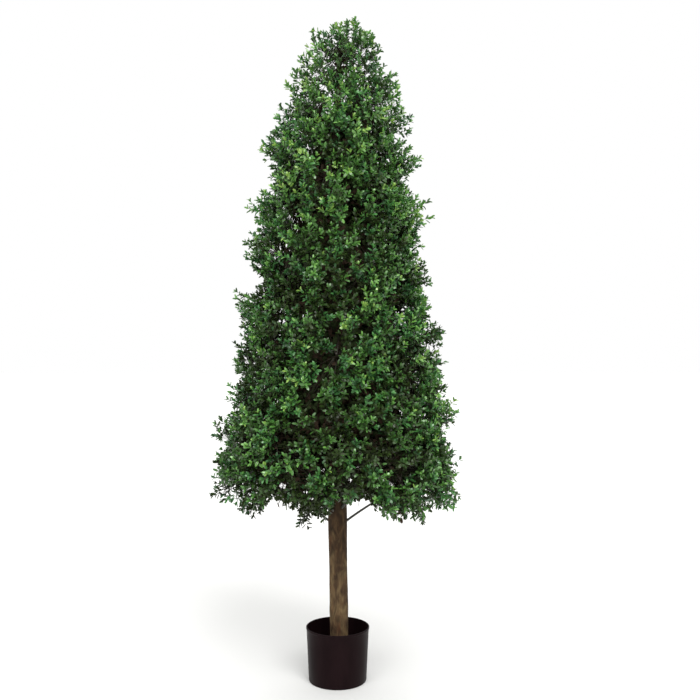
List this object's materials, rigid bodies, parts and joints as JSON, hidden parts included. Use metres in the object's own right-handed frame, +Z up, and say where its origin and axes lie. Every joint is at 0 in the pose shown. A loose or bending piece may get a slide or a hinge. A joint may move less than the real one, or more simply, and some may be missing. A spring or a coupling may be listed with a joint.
{
  "type": "artificial boxwood cone topiary in a pot",
  "caption": "Tall artificial boxwood cone of small glossy leaves on a bare natural wood trunk, set in a plain black plastic nursery pot.",
  "frame": {"origin": "centre of the pot's flat underside", "axes": "+Z up along the trunk, +X to the plant's right as seen from its front, -Y towards the viewer of its front"},
  "size_m": [0.6826, 0.6526, 1.83],
  "materials": {
    "pot": "satin",
    "pot_fill": "matte",
    "trunk": "matte",
    "bough": "matte",
    "foliage": "satin"
  },
  "bodies": {
    "root": {"pot": "pot", "pot_fill": "pot_fill", "trunk": "trunk", "bough_1": "bough", "bough_2": "bough", "bough_3": "bough", "bough_4": "bough", "bough_5": "bough", "bough_6": "bough", "skirt_mass_1": "foliage", "skirt_mass_2": "foliage", "skirt_mass_3": "foliage", "skirt_mass_4": "foliage", "skirt_mass_5": "foliage", "skirt_mass_6": "foliage", "lower_mass_1": "foliage", "lower_mass_2": "foliage", "lower_mass_3": "foliage", "lower_mass_4": "foliage", "lower_mass_5": "foliage", "lower_mass_6": "foliage", "middle_mass_1": "foliage", "middle_mass_2": "foliage", "middle_mass_3": "foliage", "middle_mass_4": "foliage", "middle_mass_5": "foliage", "upper_mass_1": "foliage", "upper_mass_2": "foliage", "upper_mass_3": "foliage", "upper_mass_4": "foliage", "upper_mass_5": "foliage", "shoulder_mass_1": "foliage", "shoulder_mass_2": "foliage", "shoulder_mass_3": "foliage", "shoulder_mass_4": "foliage", "crest_mass": "foliage"}
  },
  "joints": []
}
